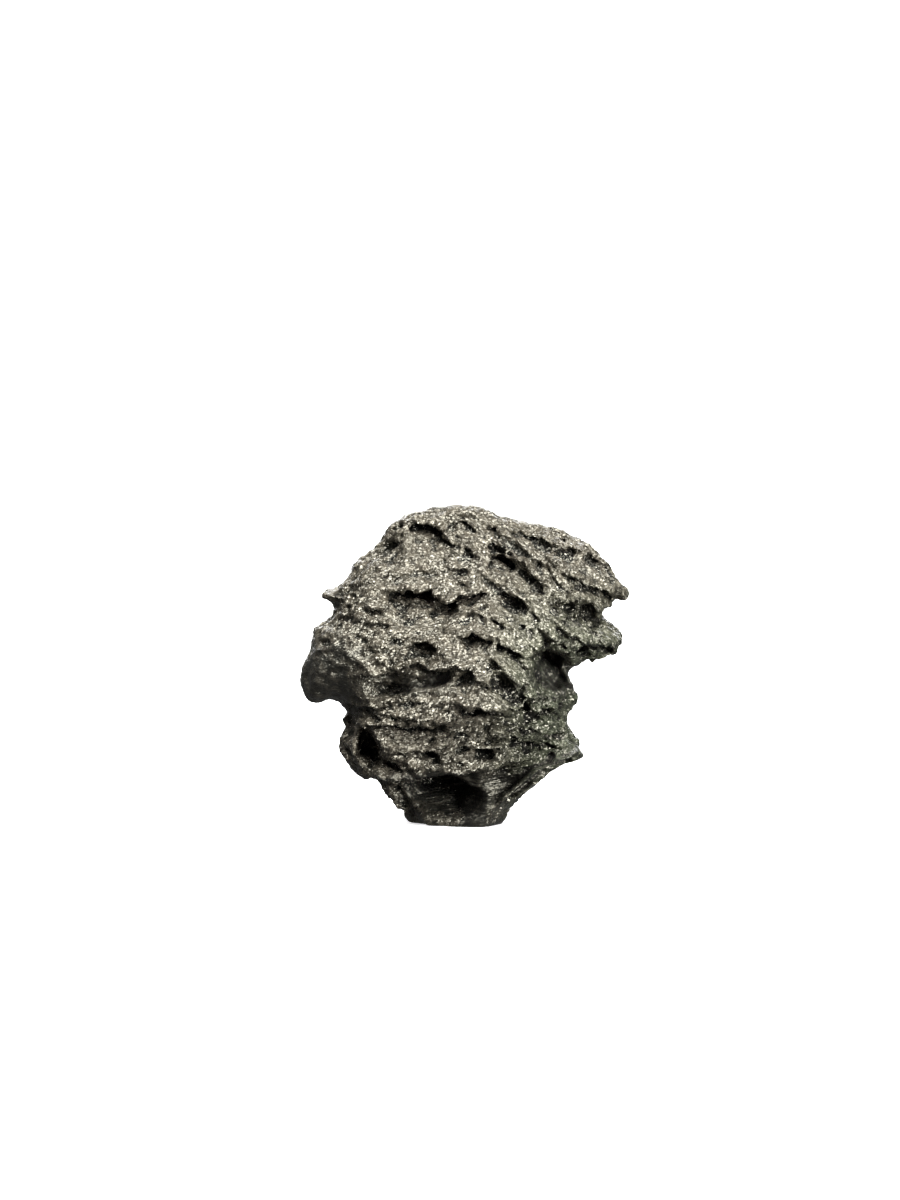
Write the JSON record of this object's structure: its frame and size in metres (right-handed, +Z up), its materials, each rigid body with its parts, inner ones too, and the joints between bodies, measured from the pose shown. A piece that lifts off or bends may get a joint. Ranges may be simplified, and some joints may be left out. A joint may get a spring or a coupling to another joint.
{
  "type": "meteorite specimen",
  "caption": "Dark pitted stone specimen with overhanging ledges, open hollows and a chipped outline, standing on a small flat foot.",
  "frame": {"origin": "under the middle of the stone's bounding box, at the height of its flat foot", "axes": "+Z up as the stone is held, -Y towards the viewer of its pitted face, +X to that viewer's right"},
  "size_m": [0.0328, 0.02, 0.0319],
  "materials": {
    "black_stone": "satin"
  },
  "bodies": {
    "root": {"meteorite_stone": "black_stone"}
  },
  "joints": []
}
